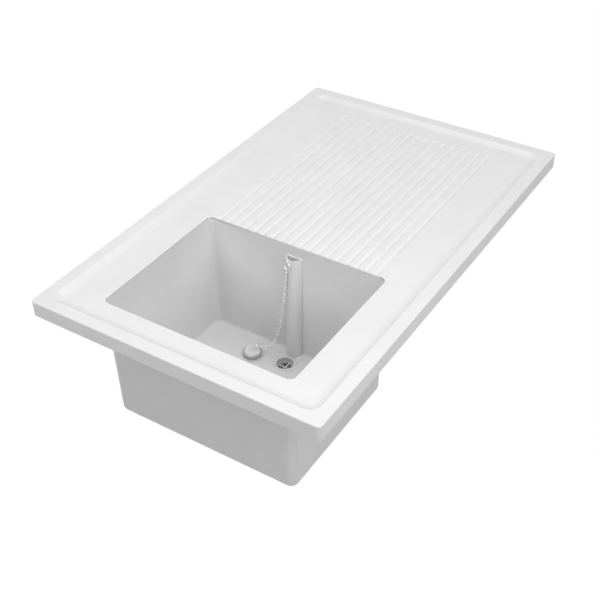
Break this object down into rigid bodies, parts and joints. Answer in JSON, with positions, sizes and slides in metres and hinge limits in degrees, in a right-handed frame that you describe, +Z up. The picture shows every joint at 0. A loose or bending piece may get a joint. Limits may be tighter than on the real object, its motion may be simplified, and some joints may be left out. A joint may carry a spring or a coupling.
{
  "type": "polypropylene sink unit",
  "caption": "One-piece laboratory style sink unit with a deep bowl, fluted drainer, overflow duct, waste fitting and plug on a chain.",
  "frame": {"origin": "plan centre of the unit, on the plane that the skirt rests on", "axes": "+X along the unit from the bowl to the drainer, +Y from the front to the back, +Z up"},
  "size_m": [1.21, 0.75, 0.427],
  "materials": {
    "shell": "white polypropylene, satin, welded and moulded",
    "fitting": "white moulded polypropylene, satin",
    "plug": "white moulded plug, lightly polished",
    "washer": "plain polyethylene slip washer",
    "seal": "moulded rubber, matt",
    "steel": "stainless wire, drawn"
  },
  "bodies": {
    "unit": {"drainer_top": "shell", "bowl": "shell", "bowl_weld": "shell", "overflow_duct": "shell", "overflow_chamber": "shell", "cross_webs": "shell", "fixing_pads": "shell", "waste_body": "fitting", "waste_grid": "fitting", "waste_top_seal": "seal", "waste_lower_seal": "seal", "waste_slip_washer": "washer", "waste_backnut": "fitting", "stay_ring": "steel", "chain_ring": "steel", "plug_chain": "steel"},
    "plug": {"plug_body": "plug", "plug_seal": "seal", "plug_eye": "steel", "plug_ring": "steel"}
  },
  "joints": [
    {"name": "plug_lift", "type": "slide", "parent": "unit", "child": "plug", "axis": [0, 0, 1], "range_m": [0, 0.06], "deforming": ["plug_chain"]}
  ]
}
